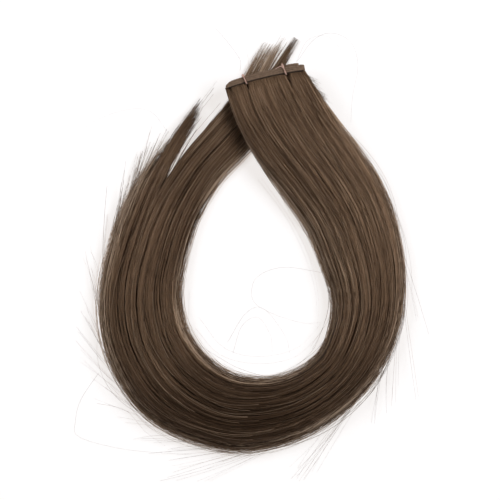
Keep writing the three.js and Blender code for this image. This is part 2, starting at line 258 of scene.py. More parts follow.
# Wisps of loose hairs that leave the outer edge and gather towards their tips: where along the hair they
# leave, where the tip lies on the floor, and how many hairs they have
Wisp = namedtuple("Wisp", "run x y hairs")
WISP_ROWS = [
    (94, 105, -58.5, 1), (100, 94, -42, 2), (118, 91, -84, 2), (139, 80.5, -85.5, 2),
    (142, 78.5, -86.5, 2), (146, 74.5, -93.5, 2), (155, 68, -98, 4), (172, 27, -135.5, 3),
    (174, 23, -135.5, 3), (178, 17, -137, 3), (181, 20, -128.5, 3), (208, -42, -138.5, 3),
    (218, -29, -126, 3), (216, -57, -134, 3), (225, -49, -126, 3), (234, -45, -120, 3),
    (242, -57, -116, 4), (248, -66, -108, 4), (257, -85, -95, 2), (264, -88, -86.5, 2),
    (274, -86, -75, 3), (280, -105, -56, 2), (285, -109, -41, 3), (291, -110, -29, 3),
    (300, -96, -36, 3), (304, -97.5, -29, 3), (307, -92, -36, 3), (317, -95, -1.5, 2),
    (318, -93, -9.5, 2), (323, -91.5, -1.5, 3), (335, -90.2, 0.2, 2), (338, -81.2, 15.8, 2),
    (340, -77.9, 47.8, 1), (347, -75.6, 18.6, 5), (348, -70.6, 47.8, 1), (350, -74.5, 22, 4),
    (350, -72.3, 34.3, 9), (356, -68.3, 42.2, 5), (360, -63.9, 52.2, 10), (366, -63.3, 50, 6),
    (370, -55.5, 67.9, 5), (372, -58.3, 57.3, 8), (382, -51.5, 64.6, 6), (392, -48.2, 63.4, 6),
]
WISPS = [Wisp(*row) for row in WISP_ROWS]
THICK_WISPS_FROM = 336  # along the hair
THIN_WISP, THICK_WISP = 0.8, 1.3  # of the loose hairs' radius

# Fuzz at the root's outer edge, and hairs along both edges and on top of the bundle
FUZZ_HAIRS, EDGE_HAIRS, TOP_HAIRS = 110, 440, 220
INNER_END, OUTER_END = 440, 400  # of edge hairs, along the hair
EDGE_START = 1.5  # how far inside the edge they start
TOP_RISE, TOP_MARGIN = 0.25, 0.05

# Loose hairs that curl away on their own, by points across the floor
CURLS = [
    [(-47, 63), (-57, 75), (-71, 76), (-88, 70), (-99, 62)],
    [(-7, 98), (-7, 104), (-14, 114), (-21, 122)],
    [(-2, 99), (-3, 108), (-5, 116)],
    [(25, 103), (34, 115), (44, 119), (55, 114), (59, 101), (56, 84), (55, 69)],
    [(24, 102), (31, 115), (42, 117), (51, 108)],
    [(-86, -71), (-96, -86), (-99, -98), (-97, -107), (-71, -114), (-35, -117)],
    [(-87, -88), (-71, -92), (-60, -104), (-49, -112)],
    [(39, -15), (17, -12), (2, -18), (0, -30), (9, -37), (27, -43), (38, -43)],
    [(-11, -60), (-6, -45), (3, -40), (10, -50), (11, -60)],
    [(-14, -54), (-4, -38), (6, -35), (18, -50), (21, -61)],
    [(5, 38), (21, 15), (32, -7), (37, -30), (36, -48)],
    [(3, 37), (18, 17), (29, -5), (35, -25), (36, -40)],
    [(-32, -46), (-18, -61), (3, -66), (24, -62), (38, -49)],
    [(-30, -40), (-16, -57), (4, -62), (25, -57), (38, -44)],
]

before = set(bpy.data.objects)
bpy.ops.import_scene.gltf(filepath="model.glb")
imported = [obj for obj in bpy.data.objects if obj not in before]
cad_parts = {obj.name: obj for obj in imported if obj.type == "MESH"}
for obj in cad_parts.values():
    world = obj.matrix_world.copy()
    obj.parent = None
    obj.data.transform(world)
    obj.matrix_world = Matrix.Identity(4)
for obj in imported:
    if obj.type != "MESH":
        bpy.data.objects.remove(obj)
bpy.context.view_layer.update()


# Numbers and curves


def ease(x, low, high):
    t = np.clip((x - low) / (high - low), 0, 1)
    return t * t * (3 - 2 * t)


def within(run, begin, full, fade, end):
    """How much distances along the hair lie in a stretch of it, from 0 to 1."""
    return ease(run, begin, full) * (1 - ease(run, fade, end))


def lerp(a, b, t):
    return a + (b - a) * t


def unit(vectors):
    return vectors / np.maximum(np.linalg.norm(vectors, axis=-1, keepdims=True), 1e-12)


def catmull_rom(points, samples):
    """A curve through the points, evenly timed, as the solids follow it."""
    points = np.asarray(points, float)
    ends = np.vstack([2 * points[0] - points[1], points, 2 * points[-1] - points[-2]])
    place = np.linspace(0, len(points) - 1, samples)
    i = np.minimum(place.astype(int), len(points) - 2)
    t = (place - i)[:, None]
    before, start, end, after = ends[i], ends[i + 1], ends[i + 2], ends[i + 3]
    leave, arrive = (end - before) / 2, (after - start) / 2
    cubic = 2 * start - 2 * end + leave + arrive
    square = 3 * end - 3 * start - 2 * leave - arrive
    return cubic * t**3 + square * t**2 + leave * t + start


def arch(samples, power):
    """The upper half of an ellipse, from -1 to 1 and up to 1, and boxier for a power under 1."""
    angle = np.linspace(0, np.pi, samples)
    side = -np.sign(np.cos(angle)) * np.abs(np.cos(angle)) ** power
    return side, np.abs(np.sin(angle)) ** power


# The bundle's form

table = np.array(SECTIONS)
middle = catmull_rom(table[:, [0, 1, 5]], SECTION_SAMPLES)
form = catmull_rom(table[:, [2, 3, 4]], SECTION_SAMPLES)
RUN = np.concatenate([[0], np.cumsum(np.linalg.norm(np.diff(middle, axis=0), axis=1))])
HAIR_LENGTH = RUN[-1]
CHANNELS = {
    "x": middle[:, 0],
    "y": middle[:, 1],
    "lift": np.maximum(middle[:, 2], 0),
    "across_x": np.cos(np.radians(form[:, 0])),
    "across_y": np.sin(np.radians(form[:, 0])),
    "width": form[:, 1],
    "height": form[:, 2],
}
ROOT = {name: values[0] for name, values in CHANNELS.items()}
TRACK_ALONG = np.array([ROOT["across_x"], ROOT["across_y"], 0])
OFF_HAIR = np.array([-ROOT["across_y"], ROOT["across_x"], 0])


def bundle(run):
    """The bundle's form at distances along the hair."""
    return {name: np.interp(run, RUN, values) for name, values in CHANNELS.items()}


def outward_of(here):
    return np.stack([here["across_x"], here["across_y"]], axis=-1)


def floor_points(here, along):
    """Points on the floor at places across the bundle, from its middle."""
    return np.stack([here["x"] + here["across_x"] * along, here["y"] + here["across_y"] * along], axis=-1)


def lifted(flat, z):
    return np.concatenate([flat, z[..., None]], axis=-1)


def profile(power):
    """A section's outline, as shares of its length, of half its width and of its height."""
    side, rise = arch(PROFILE_SAMPLES, power)
    steps = np.hypot(np.diff(side) * PROFILE_HALF, np.diff(rise) * PROFILE_HEIGHT)
    length = np.concatenate([[0], np.cumsum(steps)])
    return length / length[-1], side, rise


ROUND, BOXY = profile(ROUND_POWER), profile(BOXY_POWER)


def bow_at(along):
    return TRACK_BOW * (1 - (along / (TRACK_WIDTH / 2)) ** 2)


def at_track(along, off, height):
    """Points at places along the track, distances off the root, and heights."""
    along, off, height = np.broadcast_arrays(along, off, height)
    root = np.array([ROOT["x"], ROOT["y"], 0])
    return root + along[..., None] * TRACK_ALONG + off[..., None] * OFF_HAIR + height[..., None] * UP


def layer_height(number):
    return ROOT_LIFT + FOLD_PITCH * (number + 0.5)


def drift_of(lock, run):
    """How far locks drift across the bundle, as a share of half its width."""
    start, end = lock["reach"] - lock["over"], lock["reach"] + lock["over"] / 3
    return lock["splay"] * ease(run / HAIR_LENGTH, start, end)


def loop_inset(run):
    """How much farther inside the outer edge the dense hair ends."""
    return LOOP_INSET * within(run, *BELOW_LOOP) + LOOP_DENT * within(run, *LOWER_LEFT)


def lay(run, place, depth, lock):
    """Points of hair at distances along it, places round the section from 0 to 1, and depths under it."""
    here = bundle(run)
    round_form = ease(run, 0, LOOSE_FROM)
    side = lerp(np.interp(place, BOXY[0], BOXY[1]), np.interp(place, ROUND[0], ROUND[1]), round_form)
    rise = lerp(np.interp(place, BOXY[0], BOXY[2]), np.interp(place, ROUND[0], ROUND[2]), round_form)
    side = side * (1 - 2 * depth / here["width"])
    height = np.maximum(rise * here["height"] - depth * rise, LEAST_HEIGHT)

    # Lock by lock: a low mound on each, drift, and the narrowing towards the tip
    own = {name: values[lock][:, None] for name, values in LOCK.items()}
    off_middle = (side - own["side"]) / own["share"]
    height = height * (1 - LOCK_MOUND * round_form * np.clip(off_middle**2, 0, 1))
    left = np.sin(np.clip((own["reach"] * HAIR_LENGTH - run) / TIP_TAPER, 0, 1) * np.pi / 2)
    half = here["width"] / 2 - EDGE_INSET * round_form
    along = own["side"] + (side - own["side"]) * lerp(own["tip"], 1, left) + drift_of(own, run)
    along = along * half
    along = along - loop_inset(run) * ease(along / half, 0, 1)
    along = along + own["fan"] * ease(run, FAN_FROM, HAIR_LENGTH)
    z = here["lift"] + height * lerp(TIP_SHARE, 1, left)

    # At the root each strand comes out of its own layer of the track, and the ties part the hair
    layer = np.clip(np.floor((z[:, :1] - ROOT_LIFT) / FOLD_PITCH), 0, len(FOLDS) - 1)
    z = lerp(layer_height(layer) - ROOT_DROP, z, ease(run, 0, ROOT_RUN))
    for tie in TIES:
        beside = along - tie.along - tie.lean / 2
        opening = np.clip(1 - run / tie.parting, 0, 1)
        along = along + np.sign(beside) * PART_SPREAD * opening * np.exp(-np.abs(beside) / PART_REACH)
        furrow = ease(run, 0, PART_RUN) * np.exp(-np.abs(beside) / PART_WIDTH)
        z = z - PART_DEPTH * opening * furrow
    into_track = bow_at(along) + ROOT_OVERLAP
    flare = ROOT_FLARE * (1 - ease(run, 0, FLARE_RUN))
    along = along - flare * ease(-along, FLARE_FROM, TRACK_WIDTH / 2)
    return settle(here, run, along, into_track, z)


def settle(here, run, along, into_track, z):
    """Points of hair that reach into the track at the root."""
    off = into_track * (1 - ease(run, 0, ROOT_RUN))
    return press_tips(lifted(floor_points(here, along) + off[..., None] * OFF_HAIR[:2], z), run)


def press_tips(points, run):
    """Points of hair, with the tips dipping where they pass under the root's inner edge."""
    here = bundle(np.linspace(0, PRESS_RUN, PRESS_SAMPLES))
    apart = points[..., None, :2] - floor_points(here, -here["width"] / 2)
    nearest = np.argmin((apart**2).sum(axis=-1), axis=-1)
    from_edge = np.take_along_axis(apart, nearest[..., None, None], axis=-2)[..., 0, :]
    outside = -(from_edge * outward_of(here)[nearest]).sum(axis=-1)
    pressed = points[..., 2] * PRESSED_HEIGHT / FREE_HEIGHT
    dip = (1 - ease(outside, 0, PRESS_REACH)) * ease(run, PRESS_FROM, PRESS_FULL)
    points[..., 2] = lerp(points[..., 2], pressed, dip)
    return points


# Meshes


def tube_rings(paths, radii, sides=6, turn=0.0, beside=UP):
    """Rings of points round paths, by path, point, side and coordinate. No path runs along beside."""
    along = unit(np.gradient(paths, axis=1))
    level = unit(np.cross(along, beside))
    upright = np.cross(level, along)
    angle = np.broadcast_to(turn, len(paths))[:, None] + 2 * np.pi * np.arange(sides) / sides
    ring = np.cos(angle)[:, None, :, None] * level[:, :, None, :]
    ring = ring + np.sin(angle)[:, None, :, None] * upright[:, :, None, :]
    return paths[:, :, None, :] + radii[:, :, None, None] * ring


def skin(name, rings, closed=False, **values):
    """A mesh skinned over rings, with named values for each body and point."""
    bodies, points, sides, _ = rings.shape
    index = np.arange(bodies * points * sides).reshape(bodies, points, sides)
    ahead = np.roll(index, -1, axis=1) if closed else index[:, 1:]
    here = index if closed else index[:, :-1]
    cells = [here, ahead, np.roll(ahead, -1, axis=2), np.roll(here, -1, axis=2)]
    quads = np.stack(cells, axis=-1).reshape(-1, 4)
    caps = np.zeros((0, sides), int) if closed else np.concatenate([index[:, 0], index[:, -1, ::-1]])

    mesh = bpy.data.meshes.new(name)
    mesh.vertices.add(index.size)
    mesh.vertices.foreach_set("co", (rings * MM).astype(np.float32).ravel())
    corners = np.concatenate([quads.ravel(), caps.ravel()])
    mesh.loops.add(len(corners))
    mesh.loops.foreach_set("vertex_index", corners.astype(np.int32))
    starts = np.concatenate([np.arange(len(quads)) * 4, quads.size + np.arange(len(caps)) * sides])
    mesh.polygons.add(len(starts))
    mesh.polygons.foreach_set("loop_start", starts.astype(np.int32))
    mesh.polygons.foreach_set("use_smooth", np.ones(len(starts), bool))
    mesh.update(calc_edges=True)
    mesh.validate()
    for key, value in values.items():
        layer = mesh.attributes.new(key, "FLOAT", "POINT")
        layer.data.foreach_set("value", np.repeat(value.ravel(), sides).astype(np.float32))
    add_map(mesh, bodies, quads, caps, points, sides)
    return mesh


def add_map(mesh, bodies, quads, caps, points, sides):
    """A flat map with a column for each body and a narrower one for each of its sides."""
    body, point, side = np.unravel_index(quads[:, 0], (bodies, points, sides))
    low, high = (body + side / sides) / bodies, (body + (side + 1) / sides) / bodies
    start, end = point / points, (point + 1) / points
    cells = np.stack([low, start, low, end, high, end, high, start], axis=-1).reshape(-1, 2)
    body, point, side = np.unravel_index(caps.ravel(), (bodies, points, sides))
    ends = np.stack([(body + side / sides) / bodies, point / points], axis=-1)
    layer = mesh.uv_layers.new(name="OFBake")
    layer.data.foreach_set("uv", np.concatenate([cells, ends]).astype(np.float32).ravel())


def add_object(name, data):
    item = bpy.data.objects.new(name, data)
    bpy.context.scene.collection.objects.link(item)
    return item


def add_piece(mesh, material, replaces=()):
    piece = add_object(mesh.name, mesh)
    mesh.materials.append(material)
    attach(piece, "root")
    if replaces:
        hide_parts(*replaces)


# Materials

HAIR_COLOURS = [
    (0.0, (0.0015, 0.0008, 0.0004)),
    (0.4, (0.016, 0.009, 0.0054)),
    (0.64, (0.075, 0.047, 0.03)),
    (0.8, (0.25, 0.18, 0.125)),
    (1.0, (0.52, 0.405, 0.31)),
]
NOISE_LOW, NOISE_HIGH = 0.3, 0.7  # the range that most of the noise keeps to
# The core's colours are painted shade for the depths of the hair
CORE_SHADE_DARK, CORE_SHADE_LIGHT = (0.014, 0.008, 0.0045), (0.05, 0.029, 0.017)
CORE_GRAIN = (900, 6, 1)  # fine across the locks and long along them
TRACK_CLOTH = ("track", (0.11, 0.071, 0.048), (0.2, 0.134, 0.091), 900)
STITCH_CLOTH = ("stitches", (0.14, 0.092, 0.064), (0.24, 0.163, 0.114), 1500)
# Painted shadow: the seams are near-black for the shadow under the band's edge
SEAM_SHADOW_CLOTH = ("seam_shadow", (0.012, 0.007, 0.004), (0.04, 0.025, 0.016), 1500)
THREAD_CLOTH = ("thread", (0.42, 0.25, 0.2), (0.62, 0.42, 0.36), 1200)


def new_material(name, roughness, specular):
    material = bpy.data.materials.new(name)
    material.use_nodes = True
    shader = material.node_tree.nodes["Principled BSDF"]
    shader.inputs["Roughness"].default_value = roughness
    shader.inputs["Specular IOR Level"].default_value = specular
    return material, material.node_tree, shader


def colour_by(tree, shader, value, stops):
    node = tree.nodes.new("ShaderNodeValToRGB")
    elements = node.color_ramp.elements
    while len(elements) < len(stops):
        elements.new(0.5)
    for element, (place, colour) in zip(elements, stops):
        element.position = place
        element.color = (*colour, 1)
    tree.links.new(value, node.inputs["Fac"])
    tree.links.new(node.outputs["Color"], shader.inputs["Base Color"])


def noise_at(tree, place, scale, detail):
    noise = tree.nodes.new("ShaderNodeTexNoise")
    noise.inputs["Scale"].default_value = scale
    noise.inputs["Detail"].default_value = detail
    tree.links.new(place, noise.inputs["Vector"])
    return noise.outputs["Fac"]


def hair_material():
    material, tree, shader = new_material("hair", roughness=0.42, specular=1.0)
    shader.inputs["IOR"].default_value = 1.55
    shader.inputs["Specular Tint"].default_value = (1, 0.62, 0.38, 1)
    tone = tree.nodes.new("ShaderNodeAttribute")
    tone.attribute_name = "tone"
    colour_by(tree, shader, tone.outputs["Fac"], HAIR_COLOURS)
    return material


# The core's material, dark as painted shade
def shaded_core_material():
    material, tree, shader = new_material("hair_core", roughness=0.6, specular=0.08)
    uv = tree.nodes.new("ShaderNodeUVMap")
    uv.uv_map = "OFBake"
    grain = tree.nodes.new("ShaderNodeMapping")
    grain.inputs["Scale"].default_value = CORE_GRAIN
    tree.links.new(uv.outputs["UV"], grain.inputs["Vector"])
    noise = noise_at(tree, grain.outputs["Vector"], scale=1, detail=3)
    colour_by(tree, shader, noise, [(NOISE_LOW, CORE_SHADE_DARK), (NOISE_HIGH, CORE_SHADE_LIGHT)])
    return material


def cloth_material(name, dark, light, scale):
    material, tree, shader = new_material(name, roughness=0.85, specular=0.3)
    place = tree.nodes.new("ShaderNodeTexCoord")
    noise = noise_at(tree, place.outputs["Object"], scale, detail=4)
    colour_by(tree, shader, noise, [(NOISE_LOW, dark), (NOISE_HIGH, light)])
    bump = tree.nodes.new("ShaderNodeBump")
    bump.inputs["Strength"].default_value = 0.4
    bump.inputs["Distance"].default_value = 0.1 * MM
    tree.links.new(noise, bump.inputs["Height"])
    tree.links.new(bump.outputs["Normal"], shader.inputs["Normal"])
    return material


# Hair


def lock_of(place):
    """The lock that holds each place round the section."""
    side = np.interp(place, ROUND[0], ROUND[1])
    return np.argmin(np.abs(side[:, None] - LOCK["side"]), axis=1)


def make_core(material):
    """The mass under the strands, dark as painted shade: a mound for each lock."""
    reach = LOCK["reach"][:, None] * HAIR_LENGTH - CORE_SHORT
    run = CORE_START + np.linspace(0, 1, CORE_STEPS) * (reach - CORE_START)
    here = {name: values[..., None] for name, values in bundle(run).items()}
    own = {name: values[:, None] for name, values in LOCK.items()}
    round_form = ease(run, 0, LOOSE_FROM)
    taper = lerp(CORE_TIP, 1, np.sin(np.clip((reach - run) / CORE_TAPER, 0, 1) * np.pi / 2))
    side = own["side"] * CORE_GATHER + drift_of(own, run)
    crown = np.sqrt(1 - CORE_FALL * round_form * np.clip(side, -1, 1) ** 2)

    mound_side, mound_rise = arch(CORE_SIDES, CORE_POWER)
    half = here["width"] / 2
    mound_half = (own["share"] * taper * CORE_SHARE)[..., None] * half
    along = side[..., None] * half + mound_side * mound_half
    inset = loop_inset(run) + CORE_INSET * round_form
    along = along - inset[..., None] * ease(along / half, 0, 1)
    z = here["lift"] + CORE_LIFT + mound_rise * (here["height"] - CORE_DEPTH) * (crown * taper)[..., None]
    rings = settle(here, run[..., None], along, bow_at(along) + CORE_OVERLAP, z)
    add_piece(skin("hair_core", rings), material, ["hair"])


def wander(rng, run, waves):
    """Slow waves at distances along the hair, with their own phases and turns in each row."""
    size, rows = waves
    total = np.zeros(run.shape)
    for weight, turns in rows:
        phase = rng.random((len(run), 1))
        own_turns = turns * (LEAST_TURNS + MORE_TURNS * rng.random((len(run), 1)))
        total = total + weight * np.sin(2 * np.pi * (own_turns * run / HAIR_LENGTH + phase))
    return size * total


def shared_run(run, rows):
    """The strands' mean distances along the hair, once for each lane or clump."""
    return np.broadcast_to(run.mean(axis=0), (rows, run.shape[1]))


Strands = namedtuple("Strands", "clump lane lock length run place depth crossing")


def arrange_strands(rng):
    """The strands' groups, lengths, places and depths, and which of them cross over others."""
    lane_of_clump = np.repeat(np.arange(LANES), LANE_CLUMPS)
    clump = np.repeat(np.arange(CLUMPS), CLUMP_STRANDS)
    lane = lane_of_clump[clump]
    clump_place = EDGE_PLACE + (1 - 2 * EDGE_PLACE) * (lane_of_clump + rng.random(CLUMPS)) / LANES
    lock = lock_of(clump_place)[clump]
    length, run = strand_runs(rng, lane, lock)

    # Lanes and clumps sway together, and some clumps cross over the others on top
    count = len(clump)
    loose = ease(run, 0, LOOSE_FROM)
    sway = wander(rng, shared_run(run, LANES), LANE_SWAY)[lane]
    sway = sway + wander(rng, shared_run(run, CLUMPS), CLUMP_SWAY)[clump]
    crosses = (rng.random(CLUMPS) < CROSSING_SHARE) * rng.normal(0, CROSSING_SLANT, CLUMPS)
    sway = sway + crosses[clump][:, None] * (run / HAIR_LENGTH - 0.5)
    depth = np.abs(rng.normal(0, CLUMP_DEPTH, CLUMPS)) * (crosses == 0)
    depth = depth[clump][:, None] + np.abs(rng.normal(0, STRAND_DEPTH, (count, 1)))
    depth = depth + wander(rng, shared_run(run, CLUMPS), DEPTH_WAVES)[clump] * loose
    place = clump_place[clump][:, None] + rng.normal(0, STRAND_STRAY, (count, 1)) + sway * loose
    place = place + wander(rng, run, STRAND_SWAY) * loose
    place, depth = add_partings(rng, run, place, depth)
    crossing = (crosses != 0)[clump][:, None]
    return Strands(clump, lane, lock, length, run, place, depth, crossing)


def strand_runs(rng, lane, lock):
    """The strands' lengths, and the distances of their points along the hair."""
    short = LANE_SHORT * np.abs(rng.normal(0, 1, LANES))[lane]
    short = short + STRAND_SHORT * np.abs(rng.normal(0, 1, len(lane)))
    length = LOCK["reach"][lock] * HAIR_LENGTH + PAST_LOCK - short * LOCK["ragged"][lock]
    length = np.minimum(length, HAIR_LENGTH - END_MARGIN)
    even = np.linspace(0, 1, STRAND_STEPS + 1)[1:] * (length[:, None] - ROOT_RUNS[-1]) + ROOT_RUNS[-1]
    close = np.broadcast_to(ROOT_RUNS, (len(lane), len(ROOT_RUNS)))
    return length, np.concatenate([close, even], axis=1)


def add_partings(rng, run, place, depth):
    for _ in range(PARTINGS):
        own_place = rng.uniform(0.1, 0.9)
        slant = rng.normal(0, 0.00015)
        own_run = rng.uniform(140, 450)
        reach = rng.uniform(25, 70)
        beside = place - own_place - slant * (run - HAIR_LENGTH / 2)
        window = np.exp(-(((run - own_run) / reach) ** 2))
        depth = depth + PARTING_DEPTH * window * np.exp(-((beside / PARTING_WIDTH) ** 2))
        place = place + np.sign(beside) * PARTING_SPREAD * window * np.exp(-np.abs(beside) / PARTING_FADE)
    return place, np.clip(depth, 0, DEEPEST)


def spread_strands(rng, strands):
    """Paths whose tips spread, their radii, and how far they stand off at the edges."""
    run, place, lock = strands.run, strands.place, strands.lock
    count = len(run)
    paths = lay(run, np.clip(place, PLACE_MARGIN, 1 - PLACE_MARGIN), strands.depth, lock)
    loose = ease(run, 0, LOOSE_FROM)
    tip = 1 - ease(strands.length[:, None] - run, 0, TIP_RUN)
    sideways = LANE_SPREAD * rng.normal(0, 1, LANES)[strands.lane]
    sideways = sideways + STRAND_SPREAD * rng.normal(0, 1, count)
    turned = (LOCK["fray"][lock] * sideways)[:, None] * tip
    at_edge = ease(np.abs(place - 0.5), *RIM_PLACES)
    stand_off = np.minimum(rng.exponential(STAND_OFF, (count, 1)), MOST_OFF) * at_edge
    stand_off = stand_off * (loose + LOOP_OFF * ease(run, *LOOP_OFF_FROM))
    outwards = turned + np.sign(place - 0.5) * stand_off
    paths[..., :2] += outward_of(bundle(run)) * outwards[..., None]
    radii = STRAND_RADIUS * rng.uniform(*RADIUS_SHARES, (count, 1))
    radii = radii * (1 - TIP_THINNING * ease(tip, THIN_FROM, 1))
    return paths, radii * (1 - EDGE_THINNING * at_edge * loose), stand_off


def own_tones(rng, strands):
    """The tones that lanes, clumps and strands have of their own, less the painted shade of deeper
    strands.
    """
    run = strands.run
    tone = LANE_TONE * rng.normal(0, 1, LANES)[strands.lane]
    tone = tone + CLUMP_TONE * rng.normal(0, 1, CLUMPS)[strands.clump]
    tone = (tone + rng.normal(0, STRAND_TONE, len(run)))[:, None]
    tone = tone + wander(rng, shared_run(run, LANES), LANE_TONE_WAVES)[strands.lane]
    tone = tone + wander(rng, shared_run(run, CLUMPS), CLUMP_TONE_WAVES)[strands.clump]
    tone = tone * np.where(tone > 0, LIGHT_SHARE, DARK_SHARE)
    contrast = lerp(ROOT_CONTRAST, LOOP_CONTRAST, ease(run, *CONTRAST_GROWS))
    contrast = lerp(contrast, TIP_CONTRAST, ease(run, *CONTRAST_FADES))
    # Deeper strands are darker, as painted shade
    tone = tone * contrast + MIDDLE_TONE - DEPTH_SHADE * strands.depth - CROSSING_TONE * strands.crossing
    return np.minimum(tone, TOP_TONE)


def painted_edge_light(strands, paths, stand_off):
    """Painted light: how much paler strands are towards the bundle's edges, for the light that the edges
    catch and let through.
    """
    run, place = strands.run, strands.place
    edge_light = lerp(ROOT_EDGE_LIGHT, LOOP_EDGE_LIGHT, ease(run, *EDGE_LIGHT_GROWS))
    edge_light = edge_light - INNER_EDGE_LIGHT_LOSS * (place < 0.5) * ease(run, *INNER_EDGE_LIGHT_FADES)
    off_top = np.abs(place - 0.5)
    wide = lerp(ease(off_top, *RIM_PLACES), ease(off_top, *WIDE_EDGE), WIDE_SHARE)
    edge = lerp(ease(off_top, *NARROW_EDGE), wide, ease(run, *EDGE_WIDENS))

    # Painted light: paler rims on the outer side, by the distance from its edge
    here = bundle(run)
    across = ((paths[..., :2] - floor_points(here, 0)) * outward_of(here)).sum(axis=-1)
    from_edge = here["width"] / 2 - EDGE_INSET - loop_inset(run) - across
    right = within(run, *LOWER_RIGHT)
    rim_light = LEFT_RIM_LIGHT * within(run, *LEFT_FLANK) + RIGHT_RIM_LIGHT * right
    rim_light = rim_light * (1 - ease(from_edge, *RIM_DEPTHS))
    rim_light = rim_light + RIGHT_BAND_LIGHT * right * (1 - ease(from_edge, *BAND_DEPTHS))
    return edge_light * edge + STAND_OFF_LIGHT * stand_off + rim_light


def stretch_tones(strands):
    """How much paler or darker whole stretches of the hair are: painted light at the right flank's inner
    edge and on the tips under the root, painted shade over the lower half and the loop's bottom, and
    paler fanned tips.
    """
    run = strands.run
    # Painted light: paler strands at the inner edge of the right flank
    tone = INNER_FLANK_LIGHT * within(run, *INNER_FLANK) * (1 - ease(strands.place, *INNER_PLACES))
    # Painted shade: the lower half and the loop's bottom are darker
    tone = tone - LOWER_SHADE * within(run, *LOWER_HALF) - BOTTOM_SHADE * within(run, *LOOP_BOTTOM)
    fanned = (LOCK["fan"][strands.lock] > 0)[:, None]
    # Painted light on the tips, against the root's shadow
    tone = tone + TIPS_LIGHT * ease(run, *TIPS_FROM)
    return tone + FAN_TONE * fanned * ease(run, *FAN_TIPS_FROM)


def make_strands(rng, material):
    """Clumps of strands round the bundle, in one piece for each stretch of the section."""
    strands = arrange_strands(rng)
    paths, radii, stand_off = spread_strands(rng, strands)
    tone = own_tones(rng, strands) + painted_edge_light(strands, paths, stand_off) + stretch_tones(strands)
    # Painted shade: the hair is darker where it comes out of the track
    tone = tone * lerp(TRACK_SHADE, 1, ease(strands.run, *OUT_OF_TRACK))
    turn = rng.random(len(paths)) * 2 * np.pi

    per_piece = len(paths) // len(STRAND_PIECES)
    for number, name in enumerate(STRAND_PIECES):
        rows = slice(number * per_piece, (number + 1) * per_piece)
        rings = tube_rings(paths[rows], radii[rows], HAIR_SIDES, turn[rows])
        add_piece(skin(name, rings, tone=np.clip(tone[rows] / PALEST, 0, 1)), material)


def outer_edge(run, inset):
    """Points inside the bundle's outer edge, and the directions along the edge and out of it."""

    def point(run):
        here = bundle(run)
        return floor_points(here, here["width"] / 2 - inset - loop_inset(run))

    forward = unit(point(run + 0.5) - point(run))
    return point(run), forward, np.stack([-forward[..., 1], forward[..., 0]], axis=-1)


def wisp_paths(rng, wisp):
    """Hairs that leave the bundle's outer edge along it and run on to the wisp's tip."""
    count = wisp.hairs
    start = wisp.run + rng.normal(0, 4, count)
    here = bundle(start)
    root, forward, _ = outer_edge(start, EDGE_INSET + rng.uniform(0, 1.5, count))
    way = np.array([wisp.x, wisp.y]) - root
    far = np.linalg.norm(way, axis=1)[:, None]
    length = rng.uniform(0.8, 1.05, (count, 1))
    stray = rng.normal(0, 0.02, (count, 2))
    follow = 0.5 + rng.uniform(-0.1, 0.1, (count, 1))
    tip = root + way * length + stray * far
    lead = root + forward * far * follow

    def floor_path(t):
        return (1 - t) ** 2 * root[:, None] + 2 * t * (1 - t) * lead[:, None] + t**2 * tip[:, None]

    # Hairs end where they reach too far
    t = np.broadcast_to(np.linspace(0, 1, LOOSE_POINTS), (count, LOOSE_POINTS))
    inside = (np.abs(floor_path(t[..., None])) < REACH).all(axis=-1)
    end = np.where(inside, t, 0).max(axis=1, keepdims=True)
    high = (here["lift"] + here["height"] * rng.uniform(0.2, 0.5, count))[:, None]
    low = rng.uniform(0.6, 4, (count, 1))
    return lifted(floor_path((t * end)[..., None]), lerp(high, low, ease(t, 0, 1)))


def fuzz_paths(rng):
    """Short hairs that stick out of the root's outer edge."""
    count = FUZZ_HAIRS
    start = rng.uniform(0.5, 22, (count, 1))
    inset = rng.uniform(0.3, 1.2, (count, 1))
    root, forward, outward = outer_edge(start, inset)
    t = np.linspace(0, 1, LOOSE_POINTS)[:, None]
    length = rng.uniform(3, 9, (count, 1, 1))
    lean = rng.uniform(0.05, 0.55, (count, 1, 1))
    here = bundle(start)
    z = here["lift"] + here["height"] * rng.uniform(0.3, 0.9, (count, 1)) - t[:, 0]
    return lifted(root + length * (forward * t + outward * lean * t**1.4), z)


def edge_paths(rng):
    """Hairs that bow out a little from the bundle's inner and outer edges."""
    count = EDGE_HAIRS
    inner = rng.random((count, 1)) < 0.5
    start = rng.uniform(20, 330, (count, 1))
    length = rng.uniform(40, 150, (count, 1))
    t = np.linspace(0, 1, LOOSE_POINTS)
    run = np.minimum(start + t * length, np.where(inner, INNER_END, OUTER_END))
    here = bundle(run)
    peak = 0.6 + 1.2 * np.abs(rng.normal(0, 1, (count, 1))) ** 1.6
    bowed = rng.random((count, 1)) < 0.6
    shape = np.where(bowed, np.sin(np.pi * t) ** 0.8, ease(t, 0, 1) ** 1.4)
    out = lerp(-EDGE_START, peak, shape)
    edge = here["width"] / 2 - EDGE_INSET
    along = np.where(inner, -edge - out, edge - loop_inset(run) + out)
    z = here["lift"] + here["height"] * rng.uniform(0.1, 0.5, (count, 1))
    return lifted(floor_points(here, along), z)


def top_paths(rng):
    """Hairs that lie on the bundle and stray across it."""
    count = TOP_HAIRS
    start = rng.uniform(10, 380, (count, 1))
    length = rng.uniform(40, 110, (count, 1))
    run = start + np.linspace(0, 1, LOOSE_POINTS) * length
    place = rng.uniform(0.2, 0.8, (count, 1))
    place = place + rng.normal(0, 0.06, (count, 1)) * (run - start) / 80
    place = place + wander(rng, run, TOP_SWAY)
    depth = np.full(run.shape, -TOP_RISE)
    return lay(run, np.clip(place, TOP_MARGIN, 1 - TOP_MARGIN), depth, lock_of(place[:, 0]))


def curl_paths(rng):
    t = np.linspace(0, 1, LOOSE_POINTS)
    curls = []
    for points in CURLS:
        fall = 5 * (1 - t) ** 2
        wave = 1.5 * np.sin(np.pi * t) * rng.uniform(0.3, 1)
        curls.append(lifted(catmull_rom(points, LOOSE_POINTS), 1.2 + fall + wave))
    return np.array(curls)


